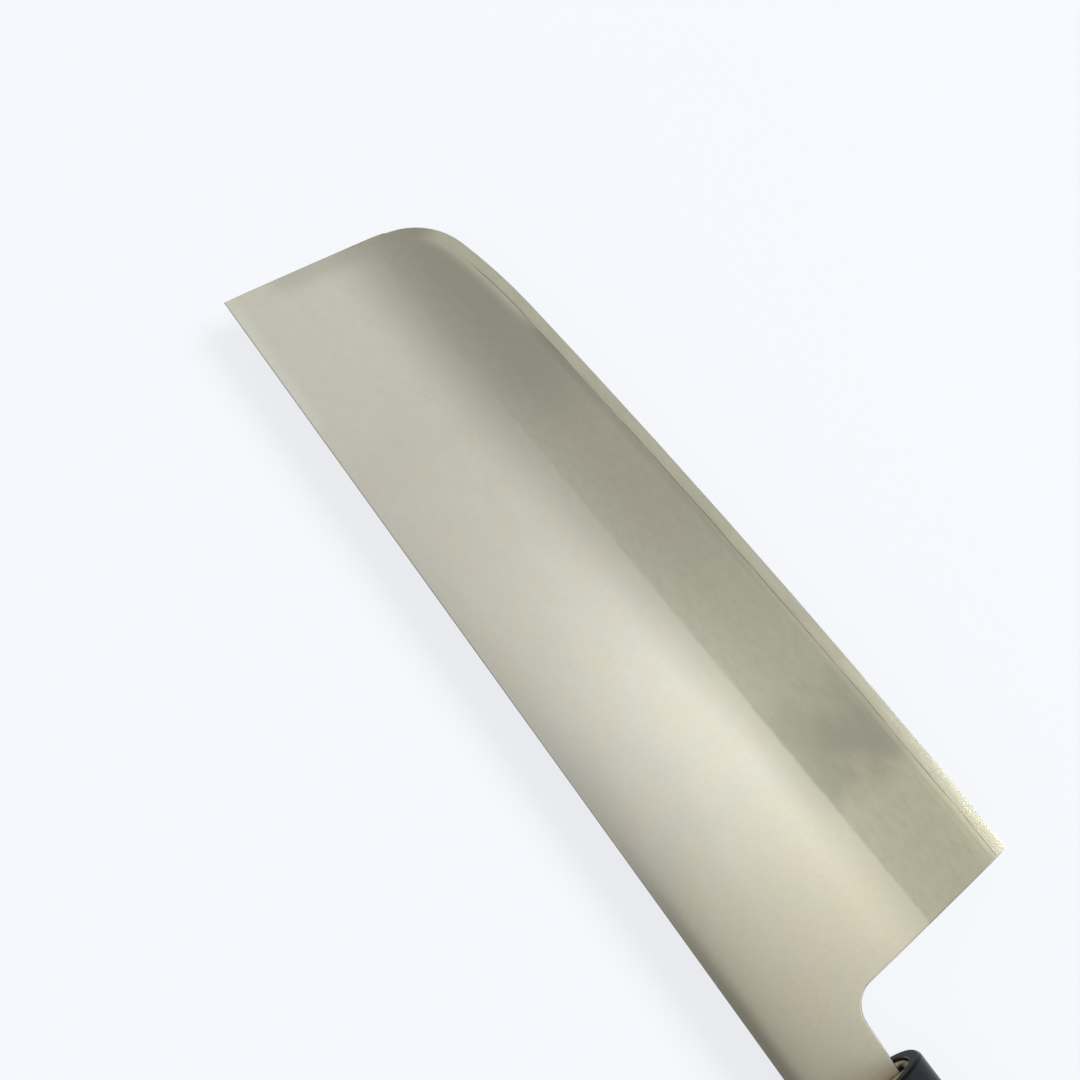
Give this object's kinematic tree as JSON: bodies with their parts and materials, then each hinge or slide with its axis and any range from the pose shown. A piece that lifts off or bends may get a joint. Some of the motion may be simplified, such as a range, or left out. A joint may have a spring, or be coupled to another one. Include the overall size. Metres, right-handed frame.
{
  "type": "nakiri knife",
  "caption": "Vegetable knife with a tall, straight-backed rectangular blade, a nearly straight edge and a D-shaped wooden handle with a black ferrule.",
  "frame": {"origin": "under the middle of the whole knife, on the surface that it lies on", "axes": "+X along the blade and handle, from the butt to the toe; +Y from the cutting edge to the spine; +Z out of the right face of the blade, so the knife lies on its left side with the blade level"},
  "size_m": [0.3046, 0.0576, 0.022],
  "materials": {
    "core_steel": "fine stone-ground hard steel",
    "cladding_steel": "satin, belt-ground soft stainless steel",
    "ferrule_resin": "polished black resin, matt on its cut front face",
    "handle_wood": "bare, finely sanded pale magnolia wood"
  },
  "bodies": {
    "root": {"blade_core": "core_steel", "right_cladding": "cladding_steel", "left_cladding": "cladding_steel", "ferrule": "ferrule_resin", "handle": "handle_wood"}
  },
  "joints": []
}
